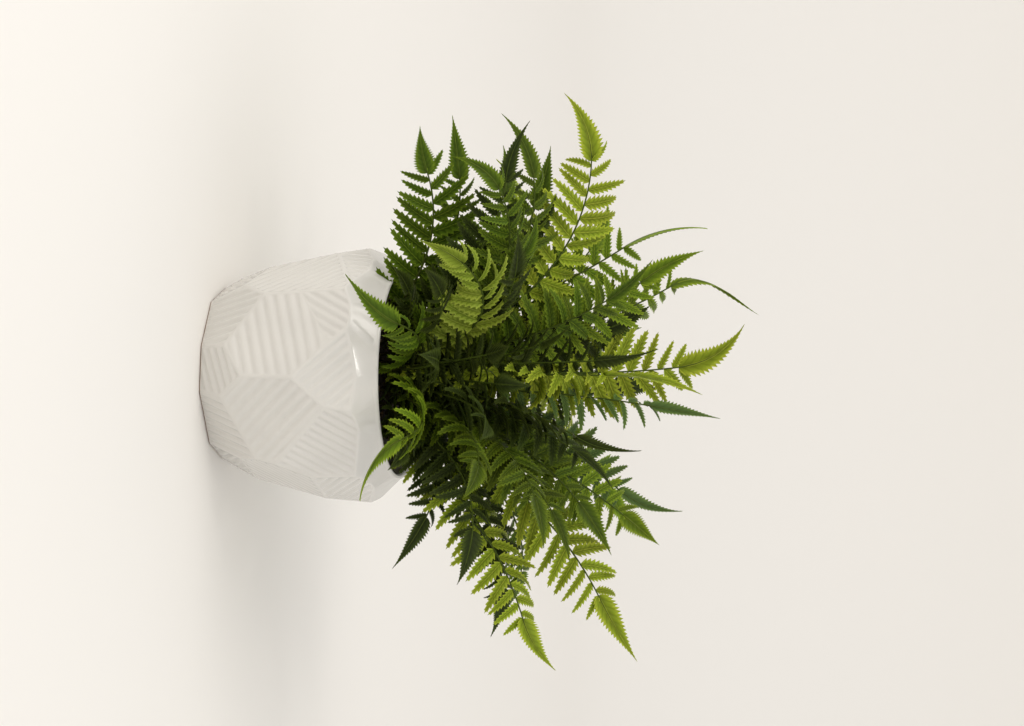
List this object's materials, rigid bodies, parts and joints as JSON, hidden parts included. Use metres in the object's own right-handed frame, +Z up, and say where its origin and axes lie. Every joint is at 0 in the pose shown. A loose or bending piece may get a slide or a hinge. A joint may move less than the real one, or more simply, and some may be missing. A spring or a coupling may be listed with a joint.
{
  "type": "potted leatherleaf fern",
  "caption": "Bushy leatherleaf fern with arching serrated fronds, growing from dark soil in a low faceted white glazed planter with ribbed faces.",
  "frame": {"origin": "centre of the pot's flat base, on the surface it stands on", "axes": "+Z up out of the pot; -Y is the side shown to the viewer; +X to the viewer's right"},
  "size_m": [0.3281, 0.2838, 0.3095],
  "materials": {
    "white_glaze": "glossy white glaze over raised ribs",
    "potting_soil": "loose dark bark and peat mix",
    "crown_fibre": "brown scaly rootstock",
    "leaf_bright": "semi-gloss yellow-green leaf",
    "leaf_fresh": "semi-gloss mid green leaf",
    "leaf_deep": "semi-gloss deep green leaf",
    "leaf_dark": "semi-gloss dark green leaf",
    "leaf_blue": "satin blue-green leaf",
    "leaf_pale": "matt pale green leaf underside"
  },
  "bodies": {
    "root": {"pot": "white_glaze", "soil": "potting_soil", "crown": "crown_fibre", "frond_left_bright": "leaf_bright", "frond_left_middle": "leaf_deep", "frond_left_rising": "leaf_dark", "frond_left_curled": "leaf_deep", "frond_left_low": "leaf_deep", "frond_left_hanging": "leaf_deep", "frond_back_left_tall": "leaf_fresh", "frond_left_tall": "leaf_fresh", "frond_back_left_peak": "leaf_fresh", "frond_centre_peak": "leaf_bright", "frond_back_right_blue": "leaf_blue", "frond_right_tall": "leaf_blue", "frond_right_broad": "leaf_fresh", "frond_right_bright": "leaf_bright", "frond_right_low": "leaf_bright", "frond_right_dark": "leaf_dark", "frond_front_right_tall": "leaf_dark", "frond_front_left_slim": "leaf_dark", "frond_front_upright": "leaf_dark", "frond_front_bright": "leaf_bright", "frond_rim_left": "leaf_deep", "frond_rim_right": "leaf_fresh", "frond_pale_twisted": "leaf_pale", "frond_front_left_a": "leaf_dark", "frond_front_left_b": "leaf_dark", "frond_front_middle": "leaf_dark", "frond_front_right_a": "leaf_dark", "frond_front_right_b": "leaf_deep", "frond_front_right_c": "leaf_deep", "frond_right_inner": "leaf_dark", "frond_left_inner": "leaf_deep", "frond_back_left_a": "leaf_deep", "frond_back_left_b": "leaf_fresh", "frond_back_left_c": "leaf_bright", "frond_back_a": "leaf_deep", "frond_back_b": "leaf_fresh", "frond_back_c": "leaf_deep", "frond_back_d": "leaf_bright", "frond_back_e": "leaf_dark", "frond_back_right_a": "leaf_fresh", "frond_back_right_b": "leaf_deep", "frond_back_right_c": "leaf_dark", "frond_right_middle": "leaf_deep", "frond_inner_left_a": "leaf_deep", "frond_inner_left_b": "leaf_deep", "frond_inner_left_c": "leaf_dark", "frond_inner_left_d": "leaf_dark", "frond_inner_right_a": "leaf_dark", "frond_inner_right_b": "leaf_dark", "frond_inner_right_c": "leaf_deep", "frond_inner_right_d": "leaf_dark", "frond_inner_back_a": "leaf_dark", "frond_inner_back_b": "leaf_dark", "frond_inner_front": "leaf_dark", "frond_low_left": "leaf_dark", "frond_low_right": "leaf_dark"}
  },
  "joints": []
}
